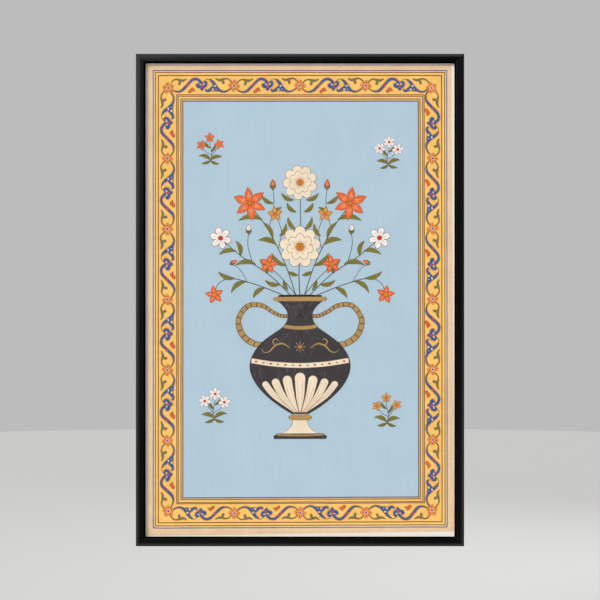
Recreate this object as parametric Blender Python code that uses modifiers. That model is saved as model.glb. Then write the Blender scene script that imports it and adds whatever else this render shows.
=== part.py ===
# A framed picture for a wall: four mitred rails round clear glazing, spacer strips,
# the printed sheet, a card and a backing board, with the fittings of the back.
# World metres. X runs to the viewer's right, Z up and Y into the wall. The wall's
# face is the plane y = 0, and the origin is the middle of the frame on that plane.

import bmesh
import bpy
from math import pi, tan
from mathutils import Matrix, Vector

MM = 0.001

# The whole frame, as it is seen from the front
FRAME_WIDTH = 600 * MM
FRAME_HEIGHT = 900 * MM
FITTING_GAP = 0.3 * MM
MITRE_GAP = 0.2 * MM

# The rail's section: widths are counted in from the outer edge, depths from its back
RAIL_WIDTH = 18 * MM
RAIL_DEPTH = 22 * MM
SIDE_DEPTH = 15 * MM
CHAMFER_WIDTH = 6.2 * MM
CHAMFER_DEPTH = 20.2 * MM
SIGHT_WIDTH = 2.8 * MM
SIGHT_DEPTH = 17.6 * MM
LIP_WIDTH = 6.5 * MM
LIP_BACK_DEPTH = 15.5 * MM
EDGE_RADIUS = 1.6 * MM
SIGHT_RADIUS = 0.8 * MM
FILLET_STEPS = 5

# The sheets in the rabbet, from the lip backwards
SHEET_CLEARANCE = 0.8 * MM
GLAZING_THICKNESS = 2 * MM
SPACER_THICKNESS = 1.2 * MM
SPACER_WIDTH = 3.4 * MM
PRINT_THICKNESS = 0.4 * MM
CARD_THICKNESS = 1.5 * MM
BOARD_THICKNESS = 3 * MM

# Flat steel points, driven into the rabbet's wall behind the board
POINT_WIDTH = 10 * MM
POINT_REACH = 9 * MM
POINT_TIP = 5.5 * MM
POINT_THICKNESS = 0.6 * MM
POINTS_ACROSS = 2
POINTS_UP = 4
POINT_PITCH_ACROSS = 280 * MM
POINT_PITCH_UP = 230 * MM

# Sawtooth hangers on the back of the top rail, each held by two nails
HANGER_OFFSET = 150 * MM
HANGER_LENGTH = 44 * MM
HANGER_WIDTH = 9.5 * MM
HANGER_STEEL = 0.8 * MM
HANGER_RISE = 1.8 * MM
HANGER_FOOT = 8.5 * MM
HANGER_SLOPE = 2.5 * MM
TOOTH_PITCH = 2.4 * MM
TOOTH_DEPTH = 1.6 * MM
TEETH = 9
NAIL_HEAD_RADIUS = 2.2 * MM
NAIL_HEAD_HEIGHT = 1.1 * MM
NAIL_RADIUS = 0.8 * MM
NAIL_LENGTH = 9 * MM

# Rubber bumpers at the lower corners, which keep the frame off the wall
BUMPER_RADIUS = 5 * MM
BUMPER_HEIGHT = 3 * MM
BUMPER_EDGE = 0.8 * MM
BUMPER_INSET = 22 * MM

TURN_STEPS = 24
MERGE_DISTANCE = 0.01 * MM

# Planes that follow from the sizes above
RAIL_BACK_Y = -(BUMPER_HEIGHT + FITTING_GAP)
RABBET_WIDTH = RAIL_WIDTH - LIP_WIDTH
LIP_BACK_Y = RAIL_BACK_Y - LIP_BACK_DEPTH
SHEET_WIDTH = FRAME_WIDTH - 2 * (RABBET_WIDTH + SHEET_CLEARANCE)
SHEET_HEIGHT = FRAME_HEIGHT - 2 * (RABBET_WIDTH + SHEET_CLEARANCE)
RAIL_BACK_MIDDLE = RABBET_WIDTH / 2


def clear_scene():
    for old in list(bpy.data.objects):
        bpy.data.objects.remove(old)


def new_collection(name):
    collection = bpy.data.collections.new(name)
    bpy.context.scene.collection.children.link(collection)
    return collection


def make_material(name, colour, roughness, metallic=0.0, alpha=1.0):
    material = bpy.data.materials.new(name)
    material.use_nodes = True
    shader = material.node_tree.nodes["Principled BSDF"]
    shader.inputs["Base Color"].default_value = (*colour, 1.0)
    shader.inputs["Roughness"].default_value = roughness
    shader.inputs["Metallic"].default_value = metallic
    shader.inputs["Alpha"].default_value = alpha
    return material


def make_materials():
    return {
        "rail": make_material("black_lacquered_wood", (0.012, 0.012, 0.013), 0.38),
        "glazing": make_material("clear_glazing", (0.95, 0.97, 0.97), 0.05, alpha=0.1),
        "print": make_material("printed_paper", (0.45, 0.57, 0.66), 0.8),
        "spacer": make_material("white_spacer", (0.72, 0.71, 0.68), 0.75),
        "card": make_material("grey_card", (0.55, 0.52, 0.47), 0.9),
        "board": make_material("brown_hardboard", (0.22, 0.12, 0.06), 0.75),
        "steel": make_material("zinc_plated_steel", (0.6, 0.6, 0.58), 0.35, metallic=1.0),
        "brass": make_material("brass_plated_steel", (0.72, 0.53, 0.22), 0.3, metallic=1.0),
        "rubber": make_material("clear_grey_rubber", (0.25, 0.25, 0.26), 0.6),
    }


# Takes an object's modifiers into its mesh, which a curve needs before any Boolean
def baked(item):
    graph = bpy.context.evaluated_depsgraph_get()
    mesh = bpy.data.meshes.new_from_object(item.evaluated_get(graph))
    shape = bmesh.new()
    shape.from_mesh(mesh)
    bmesh.ops.remove_doubles(shape, verts=shape.verts, dist=MERGE_DISTANCE)
    bmesh.ops.recalc_face_normals(shape, faces=shape.faces)
    shape.to_mesh(mesh)
    shape.free()
    result = bpy.data.objects.new(item.name + "_mesh", mesh)
    result.matrix_world = item.matrix_world.copy()
    for collection in item.users_collection:
        collection.objects.link(result)
    name = item.name
    bpy.data.objects.remove(item)
    result.name = name
    return result


# A flat outline in the XY plane, thickened to both sides of it
def plate(name, outline, thickness, collection):
    curve = bpy.data.curves.new(name, "CURVE")
    curve.dimensions = "2D"
    curve.fill_mode = "BOTH"
    curve.extrude = thickness / 2
    spline = curve.splines.new("POLY")
    spline.points.add(len(outline) - 1)
    for point, place in zip(spline.points, outline):
        point.co = (place[0], place[1], 0, 1)
    spline.use_cyclic_u = True
    item = bpy.data.objects.new(name, curve)
    collection.objects.link(item)
    bpy.context.view_layer.update()
    return baked(item)


# A profile of (radius, height) points turned round the Z axis, from its top downwards
def turned(name, profile, collection):
    mesh = bpy.data.meshes.new(name)
    edges = [(index, index + 1) for index in range(len(profile) - 1)]
    mesh.from_pydata([(radius, 0, height) for radius, height in profile], edges, [])
    item = bpy.data.objects.new(name, mesh)
    collection.objects.link(item)
    screw = item.modifiers.new("Turn", "SCREW")
    screw.steps = TURN_STEPS
    screw.render_steps = TURN_STEPS
    screw.use_merge_vertices = True
    screw.merge_threshold = MERGE_DISTANCE
    bpy.context.view_layer.update()
    return baked(item)


def box(name, size, place, collection):
    mesh = bpy.data.meshes.new(name)
    shape = bmesh.new()
    bmesh.ops.create_cube(shape, size=1, matrix=Matrix.Diagonal((*size, 1)))
    shape.to_mesh(mesh)
    shape.free()
    item = bpy.data.objects.new(name, mesh)
    item.location = place
    collection.objects.link(item)
    return item


# Each outline point comes with the radius of its rounding, 0 for a sharp corner
def filleted(corners):
    outline = []
    for index, (place, radius) in enumerate(corners):
        if radius == 0:
            outline.append(place)
            continue
        corner = Vector(place)
        back = (Vector(corners[index - 1][0]) - corner).normalized()
        ahead = (Vector(corners[(index + 1) % len(corners)][0]) - corner).normalized()
        reach = radius / tan(back.angle(ahead) / 2)
        start = corner + back * reach
        end = corner + ahead * reach
        middle = corner + (back + ahead).normalized() * (reach ** 2 + radius ** 2) ** 0.5
        for step in range(FILLET_STEPS + 1):
            spoke = (start - middle).slerp(end - middle, step / FILLET_STEPS)
            outline.append(tuple(middle + spoke.normalized() * radius))
    return outline


def cut(item, cutters):
    for index, cutter in enumerate(cutters):
        boolean = item.modifiers.new(f"Cut {index + 1}", "BOOLEAN")
        boolean.operation = "DIFFERENCE"
        boolean.object = cutter


def cutter_look(item):
    item.hide_render = True
    item.display_type = "WIRE"
    return item


def give(item, material):
    item.data.materials.clear()
    item.data.materials.append(material)
    return item


def smooth(item, degrees=35):
    item.data.shade_smooth()
    item.data.set_sharp_from_angle(angle=degrees * pi / 180)
    return item


# The rail's section in its own plane: x in from the outer edge, y forward of the back
def rail_section():
    return filleted([
        ((0, 0), 0),
        ((0, SIDE_DEPTH), EDGE_RADIUS),
        ((CHAMFER_WIDTH, CHAMFER_DEPTH), EDGE_RADIUS),
        ((RAIL_WIDTH - SIGHT_WIDTH, RAIL_DEPTH), SIGHT_RADIUS),
        ((RAIL_WIDTH, SIGHT_DEPTH), 0),
        ((RAIL_WIDTH, LIP_BACK_DEPTH), 0),
        ((RABBET_WIDTH, LIP_BACK_DEPTH), 0),
        ((RABBET_WIDTH, 0), 0),
    ])


# One rail along local Z with square ends. Each end's points then slide along the rail
# by their distance from the outer edge, which turns the end into a 45 degree mitre.
def make_rail(name, length, edge_middle, turn, material, parts):
    rail = plate(name, rail_section(), length, parts)
    for point in rail.data.vertices:
        slide = point.co.x + MITRE_GAP / 2
        point.co.z -= slide if point.co.z > 0 else -slide
    # The section's x points inwards, its y out of the wall, its length along the edge
    inwards = Vector((0, 0, -1))
    forward = Vector((0, -1, 0))
    along = inwards.cross(forward)
    axes = Matrix((inwards, forward, along)).transposed().to_4x4()
    rail.matrix_world = (
        Matrix.Rotation(turn, 4, "Y")
        @ Matrix.Translation((0, RAIL_BACK_Y, edge_middle))
        @ axes
    )
    give(smooth(rail), material)
    return rail


# Quarter turns about Y bring the top rail to the right, the bottom and the left
def make_rails(material, parts):
    return {
        "top": make_rail("rail_top", FRAME_WIDTH, FRAME_HEIGHT / 2, 0, material, parts),
        "right": make_rail("rail_right", FRAME_HEIGHT, FRAME_WIDTH / 2, pi / 2, material, parts),
        "bottom": make_rail("rail_bottom", FRAME_WIDTH, FRAME_HEIGHT / 2, pi, material, parts),
        "left": make_rail("rail_left", FRAME_HEIGHT, FRAME_WIDTH / 2, -pi / 2, material, parts),
    }


# The sheets lie one behind another in the rabbet. Returns the y of the last one's back.
def make_sheets(materials, parts):
    y = LIP_BACK_Y
    sheets = [
        ("glazing", GLAZING_THICKNESS, "glazing"),
        ("spacer", SPACER_THICKNESS, "spacer"),
        ("print_sheet", PRINT_THICKNESS, "print"),
        ("backing_card", CARD_THICKNESS, "card"),
        ("backing_board", BOARD_THICKNESS, "board"),
    ]
    for name, thickness, look in sheets:
        y += FITTING_GAP
        middle = y + thickness / 2
        if name == "spacer":
            make_spacers(middle, materials[look], parts)
        else:
            sheet = box(name, (SHEET_WIDTH, thickness, SHEET_HEIGHT), (0, middle, 0), parts)
            give(sheet, materials[look])
        y += thickness
    return y


# Strips hidden behind the lip hold the printed sheet off the glazing. The upright ones
# stand between the level ones.
def make_spacers(y, material, parts):
    level_size = (SHEET_WIDTH, SPACER_THICKNESS, SPACER_WIDTH)
    upright_length = SHEET_HEIGHT - 2 * (SPACER_WIDTH + FITTING_GAP)
    upright_size = (SPACER_WIDTH, SPACER_THICKNESS, upright_length)
    z = (SHEET_HEIGHT - SPACER_WIDTH) / 2
    x = (SHEET_WIDTH - SPACER_WIDTH) / 2
    give(box("spacer_top", level_size, (0, y, z), parts), material)
    give(box("spacer_bottom", level_size, (0, y, -z), parts), material)
    give(box("spacer_left", upright_size, (-x, y, 0), parts), material)
    give(box("spacer_right", upright_size, (x, y, 0), parts), material)


# A point's outline: its tip is in the wood, at +Y from the rabbet's wall, and its
# square tail reaches over the board at -Y. The cutter of its slot is larger all round.
def point_outline(grow):
    half = POINT_WIDTH / 2 + grow
    return [
        (-half, -POINT_REACH - grow),
        (half, -POINT_REACH - grow),
        (half, grow),
        (0, POINT_TIP + 1.5 * grow),
        (-half, grow),
    ]


# Where the points stand along each rail, counted from the rail's middle
def spread(count, pitch):
    return [(index - (count - 1) / 2) * pitch for index in range(count)]


def make_points(rails, board_back_y, material, parts, cutters):
    half_width = FRAME_WIDTH / 2 - RABBET_WIDTH
    half_height = FRAME_HEIGHT / 2 - RABBET_WIDTH
    sides = [
        ("top", half_height, 0, spread(POINTS_ACROSS, POINT_PITCH_ACROSS)),
        ("right", half_width, pi / 2, spread(POINTS_UP, POINT_PITCH_UP)),
        ("bottom", half_height, pi, spread(POINTS_ACROSS, POINT_PITCH_ACROSS)),
        ("left", half_width, -pi / 2, spread(POINTS_UP, POINT_PITCH_UP)),
    ]
    y = board_back_y + FITTING_GAP + POINT_THICKNESS / 2
    for side, wall, turn, places in sides:
        slots = []
        for index, along in enumerate(places):
            placing = (
                Matrix.Rotation(turn, 4, "Y")
                @ Matrix.Translation((along, y, wall))
                @ Matrix.Rotation(pi / 2, 4, "X")
            )
            name = f"point_{side}_{index + 1}"
            point = plate(name, point_outline(0), POINT_THICKNESS, parts)
            point.matrix_world = placing
            give(point, material)
            height = POINT_THICKNESS + 2 * FITTING_GAP
            slot = plate(name + "_slot", point_outline(FITTING_GAP), height, cutters)
            slot.matrix_world = placing
            slots.append(cutter_look(slot))
        cut(rails[side], slots)


# The hanger's strip from the side: x along the rail, y out of the rail towards the wall
def hanger_strip():
    half = HANGER_LENGTH / 2
    foot = half - HANGER_FOOT
    crest = foot - HANGER_SLOPE
    low = [(-half, 0), (-foot, 0), (-crest, HANGER_RISE), (crest, HANGER_RISE), (foot, 0), (half, 0)]
    high = [(x, y + HANGER_STEEL) for x, y in reversed(low)]
    return low + high


def tooth_outline():
    return [
        (-TOOTH_PITCH / 2, -TOOTH_DEPTH),
        (TOOTH_PITCH / 2, -TOOTH_DEPTH),
        (0, TOOTH_DEPTH),
    ]


def nail_profile(grow):
    return [
        (0, NAIL_HEAD_HEIGHT),
        (NAIL_HEAD_RADIUS * 0.55, NAIL_HEAD_HEIGHT * 0.86),
        (NAIL_HEAD_RADIUS * 0.88, NAIL_HEAD_HEIGHT * 0.5),
        (NAIL_HEAD_RADIUS, 0),
        (NAIL_RADIUS + grow, 0),
        (NAIL_RADIUS + grow, -(NAIL_LENGTH + grow)),
        (0, -(NAIL_LENGTH + NAIL_RADIUS + grow)),
    ]


def make_hangers(rail, materials, parts, cutters):
    z = FRAME_HEIGHT / 2 - RAIL_BACK_MIDDLE
    holes = []
    for side, x in (("left", -HANGER_OFFSET), ("right", HANGER_OFFSET)):
        hanger = plate(f"hanger_{side}", hanger_strip(), HANGER_WIDTH, parts)
        hanger.location = (x, RAIL_BACK_Y + FITTING_GAP, z)
        give(hanger, materials["brass"])
        cuts = []
        for index, along in enumerate(spread(TEETH, TOOTH_PITCH)):
            tooth = plate(f"tooth_{side}_{index + 1}", tooth_outline(), 8 * HANGER_STEEL, cutters)
            tooth.matrix_world = (
                Matrix.Translation((x + along, RAIL_BACK_Y + HANGER_RISE, z - HANGER_WIDTH / 2))
                @ Matrix.Rotation(pi / 2, 4, "X")
            )
            cuts.append(cutter_look(tooth))
        for index, end in enumerate((-1, 1)):
            nail_x = x + end * (HANGER_LENGTH - HANGER_FOOT) / 2
            nail_y = RAIL_BACK_Y + HANGER_STEEL + 2 * FITTING_GAP
            placing = (
                Matrix.Translation((nail_x, nail_y, z))
                @ Matrix.Rotation(-pi / 2, 4, "X")
            )
            name = f"hanger_nail_{side}_{index + 1}"
            nail = turned(name, nail_profile(0), parts)
            nail.matrix_world = placing
            give(smooth(nail), materials["steel"])
            hole = turned(name + "_hole", nail_profile(FITTING_GAP), cutters)
            hole.matrix_world = placing
            cuts.append(cutter_look(hole))
            holes.append(hole)
        cut(hanger, cuts)
    cut(rail, holes)


def bumper_profile():
    corners = [
        ((0, BUMPER_HEIGHT), 0),
        ((BUMPER_RADIUS, BUMPER_HEIGHT), BUMPER_EDGE),
        ((BUMPER_RADIUS, 0), 0),
        ((0, 0), 0),
    ]
    return filleted(corners)


def make_bumpers(material, parts):
    z = -FRAME_HEIGHT / 2 + RAIL_BACK_MIDDLE
    for side, sign in (("left", -1), ("right", 1)):
        bumper = turned(f"bumper_{side}", bumper_profile(), parts)
        bumper.matrix_world = (
            Matrix.Translation((sign * (FRAME_WIDTH / 2 - BUMPER_INSET), -BUMPER_HEIGHT, z))
            @ Matrix.Rotation(-pi / 2, 4, "X")
        )
        give(smooth(bumper), material)


def main():
    clear_scene()
    parts = new_collection("framed_picture")
    cutters = new_collection("cutters")
    materials = make_materials()
    rails = make_rails(materials["rail"], parts)
    board_back_y = make_sheets(materials, parts)
    make_points(rails, board_back_y, materials["steel"], parts, cutters)
    make_hangers(rails["top"], materials, parts, cutters)
    make_bumpers(materials["rubber"], parts)


main()
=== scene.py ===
import bmesh
import bpy
import math
import random
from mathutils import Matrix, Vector, noise


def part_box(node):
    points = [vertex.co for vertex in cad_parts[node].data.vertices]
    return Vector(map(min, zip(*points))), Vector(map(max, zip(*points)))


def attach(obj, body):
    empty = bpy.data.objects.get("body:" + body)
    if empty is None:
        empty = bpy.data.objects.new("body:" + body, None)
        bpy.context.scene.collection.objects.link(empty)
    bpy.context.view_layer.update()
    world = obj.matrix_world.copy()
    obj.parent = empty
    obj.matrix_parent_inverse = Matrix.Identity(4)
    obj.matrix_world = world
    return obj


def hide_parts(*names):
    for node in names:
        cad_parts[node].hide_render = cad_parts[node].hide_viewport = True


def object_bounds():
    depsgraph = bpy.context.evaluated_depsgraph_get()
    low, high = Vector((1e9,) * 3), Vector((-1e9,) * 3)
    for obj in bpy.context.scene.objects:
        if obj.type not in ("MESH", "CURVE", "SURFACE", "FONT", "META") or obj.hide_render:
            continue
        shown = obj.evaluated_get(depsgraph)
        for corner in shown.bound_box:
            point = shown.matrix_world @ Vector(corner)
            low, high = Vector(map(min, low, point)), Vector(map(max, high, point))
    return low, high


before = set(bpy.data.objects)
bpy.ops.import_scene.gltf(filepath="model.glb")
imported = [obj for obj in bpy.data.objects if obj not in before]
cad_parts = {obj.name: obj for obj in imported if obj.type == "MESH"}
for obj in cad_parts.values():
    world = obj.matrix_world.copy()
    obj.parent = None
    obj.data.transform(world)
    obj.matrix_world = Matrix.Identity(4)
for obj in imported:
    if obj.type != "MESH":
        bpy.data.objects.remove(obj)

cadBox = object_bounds()
bpy.ops.object.select_all(action="DESELECT")

mm = 0.001
frameLow, frameHigh = cadBox
halfWidth = (frameHigh.x - frameLow.x) / 2
halfHeight = (frameHigh.z - frameLow.z) / 2
frontY = frameLow.y                      # the sight edges' tips, nearest the viewer
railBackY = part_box("rail_top")[1].y
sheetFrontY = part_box("print_sheet")[0].y


# shader maths as plain sums
class Wire:
    def __init__(self, tree, socket):
        self.tree = tree
        self.socket = socket

    def node(self, kind, settings=None, inputs=None, out=0):
        made = self.tree.nodes.new(kind)
        for name, value in (settings or {}).items():
            setattr(made, name, value)
        for name, value in (inputs or {}).items():
            if isinstance(value, Wire):
                self.tree.links.new(value.socket, made.inputs[name])
            else:
                made.inputs[name].default_value = value
        return Wire(self.tree, made.outputs[out])

    def math(self, operation, *others):
        return self.node("ShaderNodeMath", {"operation": operation}, dict(enumerate((self, *others))))

    def __add__(self, other):
        return self.math("ADD", other)

    __radd__ = __add__

    def __mul__(self, other):
        return self.math("MULTIPLY", other)

    __rmul__ = __mul__

    def __sub__(self, other):
        return self.math("SUBTRACT", other)

    def __rsub__(self, other):
        return (self * -1).math("ADD", other)

    def above(self, edge, soft):         # 0 below the edge, 1 above it
        return self.node("ShaderNodeMapRange", {"interpolation_type": "SMOOTHSTEP"},
                         {0: self, 1: edge - soft, 2: edge + soft})

    def noise(self, size, detail, rough):        # size is the grain in metres
        return self.node("ShaderNodeTexNoise", {}, {"Vector": self, "Scale": 1 / size,
                                                    "Detail": detail, "Roughness": rough})

    def stretched(self, x, y, z):        # a place, with each axis multiplied
        return self.node("ShaderNodeVectorMath", {"operation": "MULTIPLY"}, {0: self, 1: (x, y, z)})

    def axis(self, index):
        return self.node("ShaderNodeSeparateXYZ", {}, {0: self}, out=index)

    def blend(self, first, second):      # self is the share of the second colour
        return self.node("ShaderNodeMix", {"data_type": "RGBA"}, {0: self, 6: first, 7: second}, out=2)

    def tones(self, darker, lighter):    # the same between two colours as a screen gives them
        return self.blend(fromScreen(*darker), fromScreen(*lighter))


def fromScreen(red, green, blue):        # a colour as a screen gives it, made linear
    def linear(value):
        value /= 255
        return value / 12.92 if value <= 0.04045 else ((value + 0.055) / 1.055) ** 2.4
    return (linear(red), linear(green), linear(blue), 1)


class Finish:
    def __init__(self, name, roughness, specular=0.5, metallic=0):
        self.material = bpy.data.materials.new(name)
        self.material.use_nodes = True
        self.tree = self.material.node_tree
        self.shader = self.tree.nodes["Principled BSDF"]
        self.feed("Roughness", roughness)
        self.feed("Specular IOR Level", specular)
        self.feed("Metallic", metallic)
        self.place = Wire(self.tree, None).node("ShaderNodeTexCoord", out=3)

    def feed(self, socket, value):
        if isinstance(value, Wire):
            self.tree.links.new(value.socket, self.shader.inputs[socket])
        else:
            self.shader.inputs[socket].default_value = value

    def bump(self, height, strength, distance):
        self.feed("Normal", height.node("ShaderNodeBump", {}, {
            "Height": height, "Strength": strength, "Distance": distance}))


print("kit ready")


# stage, camera and lights
studio = {
    "photoPixels": 600,
    "framePixels": 329.3,                # the frame's width in the photograph, at its front
    "lens": 85,
    "sensor": 36,
    "nearest": 0.05,
    "floorDrop": 1.05,                   # below the picture's middle
    "floorRadius": 9,
    "floorSides": 96,
    "floorColour": (0.53, 0.526, 0.518),
    "floorRoughness": 0.9,
    "airColour": (0.86, 0.86, 0.86),
    "airStrength": 0.585,
    "airSlant": 0.96,                    # how much lighter and darker than that its two sides are
    "airEdge": 4.242,                    # how sharply they meet
    "lights": [                          # name, kind, place, width, power, all aimed at the picture
        ("keyLight", "SUN", (-2.3, -3.6, 2.1), math.radians(15), 1.65),
        ("backLight", "AREA", (1.3, 3.4, 1.9), 2.8, 45),
    ],
}


def buildStudio():
    metresPerPixel = 2 * halfWidth / studio["framePixels"]
    reach = studio["photoPixels"] * metresPerPixel * studio["lens"] / studio["sensor"]
    bpy.ops.object.camera_add(location=(0, frontY - reach, 0), rotation=(math.pi / 2, 0, 0))
    camera = bpy.context.object
    camera.name = "photoCamera"
    camera.data.lens = studio["lens"]
    camera.data.sensor_width = studio["sensor"]
    camera.data.clip_start = studio["nearest"]
    bpy.context.scene.camera = camera

    bpy.ops.mesh.primitive_circle_add(vertices=studio["floorSides"], radius=studio["floorRadius"],
                                      fill_type="NGON", location=(0, 0, -studio["floorDrop"]))
    floor = bpy.context.object
    floor.name = "studioFloor"
    finish = Finish("paleFloor", studio["floorRoughness"])
    finish.feed("Base Color", (*studio["floorColour"], 1))
    floor.data.materials.append(finish.material)

    world = bpy.data.worlds.new("softAir")
    bpy.context.scene.world = world
    world.use_nodes = True
    air = world.node_tree.nodes["Background"]
    air.inputs["Color"].default_value = (*studio["airColour"], 1)
    # the room is lighter up to the left than down to the right, but as a backdrop it looks even
    compass = Wire(world.node_tree, None).node("ShaderNodeTexCoord")
    toLight = compass.axis(2) - compass.axis(0)
    unseen = 1 - compass.node("ShaderNodeLightPath")
    slant = (toLight * studio["airEdge"]).math("MAXIMUM", -1).math("MINIMUM", 1) * unseen
    strength = slant * (studio["airStrength"] * studio["airSlant"]) + studio["airStrength"]
    world.node_tree.links.new(strength.socket, air.inputs["Strength"])

    for name, kind, place, width, power in studio["lights"]:
        aim = (Vector((0, 0, 0)) - Vector(place)).to_track_quat("-Z", "Y").to_euler()
        bpy.ops.object.light_add(type=kind, location=place, rotation=aim)
        light = bpy.context.object
        light.name = name
        light.data.energy = power
        if kind == "SUN":
            light.data.angle = width
        else:
            light.data.shape = "DISK"
            light.data.size = width
    bpy.context.scene.view_settings.view_transform = "Standard"
    bpy.ops.object.select_all(action="DESELECT")


buildStudio()
print("studio ready")


# small modelling helpers
def choose(piece):                       # the only selected object, and the active one
    bpy.ops.object.select_all(action="DESELECT")
    piece.select_set(True)
    bpy.context.view_layer.objects.active = piece


def startEditing(piece):
    choose(piece)
    bpy.ops.object.mode_set(mode="EDIT")
    bpy.ops.mesh.select_all(action="SELECT")


def stopEditing():
    bpy.ops.object.mode_set(mode="OBJECT")


def addCube(name, low, high):
    middle = [(a + b) / 2 for a, b in zip(low, high)]
    bpy.ops.object.select_all(action="DESELECT")
    bpy.ops.mesh.primitive_cube_add(size=1, location=middle)
    piece = bpy.context.object
    piece.name = name
    piece.scale = [b - a for a, b in zip(low, high)]
    bpy.ops.object.transform_apply(location=True, rotation=True, scale=True)
    return piece


def sliceOff(place, normal):             # everything on the normal's side goes
    bpy.ops.mesh.select_all(action="SELECT")
    bpy.ops.mesh.bisect(plane_co=place, plane_no=normal, use_fill=True, clear_outer=True,
                        threshold=1e-6)


def selectEdges(piece, test):            # in edit mode, the edges whose two ends pass the test
    bpy.ops.mesh.select_mode(type="EDGE")
    bpy.ops.mesh.select_all(action="DESELECT")
    cage = bmesh.from_edit_mesh(piece.data)
    for line in cage.edges:
        if all(test(end.co) for end in line.verts):
            line.select_set(True)
    bmesh.update_edit_mesh(piece.data)


def applyModifier(piece, kind, **settings):
    bpy.context.view_layer.objects.active = piece
    modifier = piece.modifiers.new(kind.title(), kind)
    for name, value in settings.items():
        setattr(modifier, name, value)
    bpy.ops.object.modifier_apply(modifier=modifier.name)


def smoothEdges(piece, degrees=32):
    choose(piece)
    bpy.ops.object.shade_smooth_by_angle(angle=math.radians(degrees))


def handOver(piece, finish, slot, *nodes):
    piece.data.materials.clear()
    piece.data.materials.append(finish.material)
    if nodes:
        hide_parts(*nodes)
    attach(piece, "root")


# the moulding
moulding = {
    "width": 18 * mm,                    # across the face, from the outer edge in
    "depth": 22 * mm,
    "sideDepth": 15 * mm,
    "chamferWidth": 6.2 * mm,
    "chamferDepth": 20.2 * mm,
    "sightWidth": 2.8 * mm,              # the slope down to the glazing
    "sightDepth": 17.6 * mm,
    "lipWidth": 6.5 * mm,                # how far the face reaches over the rabbet
    "lipBack": 15.5 * mm,                # the rabbet's depth, from the back
    "arrisBevel": 0.9 * mm,
    "sightBevel": 0.6 * mm,
    "softEdge": 0.15 * mm,
    "mitreGap": 0.06 * mm,
    "spare": 2 * mm,                     # so that no cut runs through an edge already there
}

lacquer = {                              # a pair of colours is a darker and a lighter tone
    "black": ((0, 0, 0), (3, 3, 3)),
    # the chamfer's lighter greys are a painted highlight
    "chamfer": ((20, 20, 19), (26, 26, 25)),
    # the rub's lighter colour: wear, and a painted highlight
    "worn": (50, 49, 48),
    "bareWood": ((178, 142, 100), (212, 180, 136)),
    "grain": 6 * mm,
    "speck": 0.7 * mm,
    "rubs": 14 * mm,                     # the worn lengths of an arris, which also carry a painted highlight
    "fibre": 1.1 * mm,
    "ragged": 5 * mm,                    # the grain of the lacquer's edge on the back
    "wander": 1.6 * mm,                  # and how far that edge strays
    "coatRoughness": 0.36,
    "faceGloss": 0.2,
    "chamferGloss": 0.6,                 # on top of the face's
}


def lacquerFinish():
    finish = Finish("blackLacquer", 0.6, specular=0)
    finish.feed("Coat Roughness", lacquer["coatRoughness"])
    place = finish.place
    x, y, z = (place.axis(index) for index in range(3))
    fromSide = halfWidth - x.math("ABSOLUTE")
    fromEnd = halfHeight - z.math("ABSOLUTE")
    across = fromSide.math("MINIMUM", fromEnd)          # distance in from the outer edge
    grain = place.noise(lacquer["grain"], 4, 0.6)
    speck = place.noise(lacquer["speck"], 2, 0.5)
    # the chamfer is glossier and greyer towards the outer edge; the lighter grey is a painted highlight
    chamfer = 1 - across.above(5.2 * mm, 3.2 * mm)
    coat = chamfer.blend(grain.tones(*lacquer["black"]), grain.tones(*lacquer["chamfer"]))
    # a faint lighter rub along the two arrises: partly wear, partly a painted highlight
    outer = (across - moulding["chamferWidth"]).math("ABSOLUTE")
    sightEdge = moulding["width"] - moulding["sightWidth"]
    sight = (across - sightEdge).math("ABSOLUTE")
    rubAndSheen = 1 - outer.math("MINIMUM", sight).above(0.45 * mm, 0.35 * mm)
    rubAndSheen = rubAndSheen * place.noise(lacquer["rubs"], 3, 0.6).above(0.58, 0.12)
    coat = (rubAndSheen * 0.35).blend(coat, fromScreen(*lacquer["worn"]))
    # bare wood on the back and in the rabbet, with the lacquer's ragged edge
    longRail = (fromEnd - fromSide).above(0, 0.05 * mm)
    alongX = place.stretched(0.05, 1, 1).noise(lacquer["fibre"], 4, 0.6)
    alongZ = place.stretched(1, 1, 0.05).noise(lacquer["fibre"], 4, 0.6)
    fibres = alongX * (1 - longRail) + alongZ * longRail
    wood = fibres.above(0.5, 0.16).tones(*lacquer["bareWood"])
    ragged = across + (place.noise(lacquer["ragged"], 3, 0.6) - 0.5) * lacquer["wander"]
    onBack = y.above(railBackY - 0.12 * mm, 0.05 * mm) * ragged.above(1.3 * mm, 0.25 * mm)
    rabbetLine = moulding["width"] - moulding["lipWidth"]
    inRabbet = across.above(rabbetLine - 0.1 * mm, 0.05 * mm)
    behindLip = y.above(railBackY - moulding["lipBack"] - 0.02 * mm, 0.05 * mm)
    bare = onBack.math("MAXIMUM", inRabbet * behindLip)
    finish.feed("Base Color", bare.blend(coat, wood))
    slope = across.above(sightEdge + 0.3 * mm, 0.3 * mm)  # the slope by the glazing isn't polished
    gloss = (chamfer * lacquer["chamferGloss"] + lacquer["faceGloss"]) * (1 - slope) * (1 - bare)
    finish.feed("Coat Weight", gloss * (0.85 + speck * 0.3))
    finish.feed("Roughness", bare * 0.3 + (0.5 + speck * 0.08) + rubAndSheen * 0.06)
    finish.bump(grain * 0.5 + speck * 0.5, 0.12, 0.05 * mm)
    return finish


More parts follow.
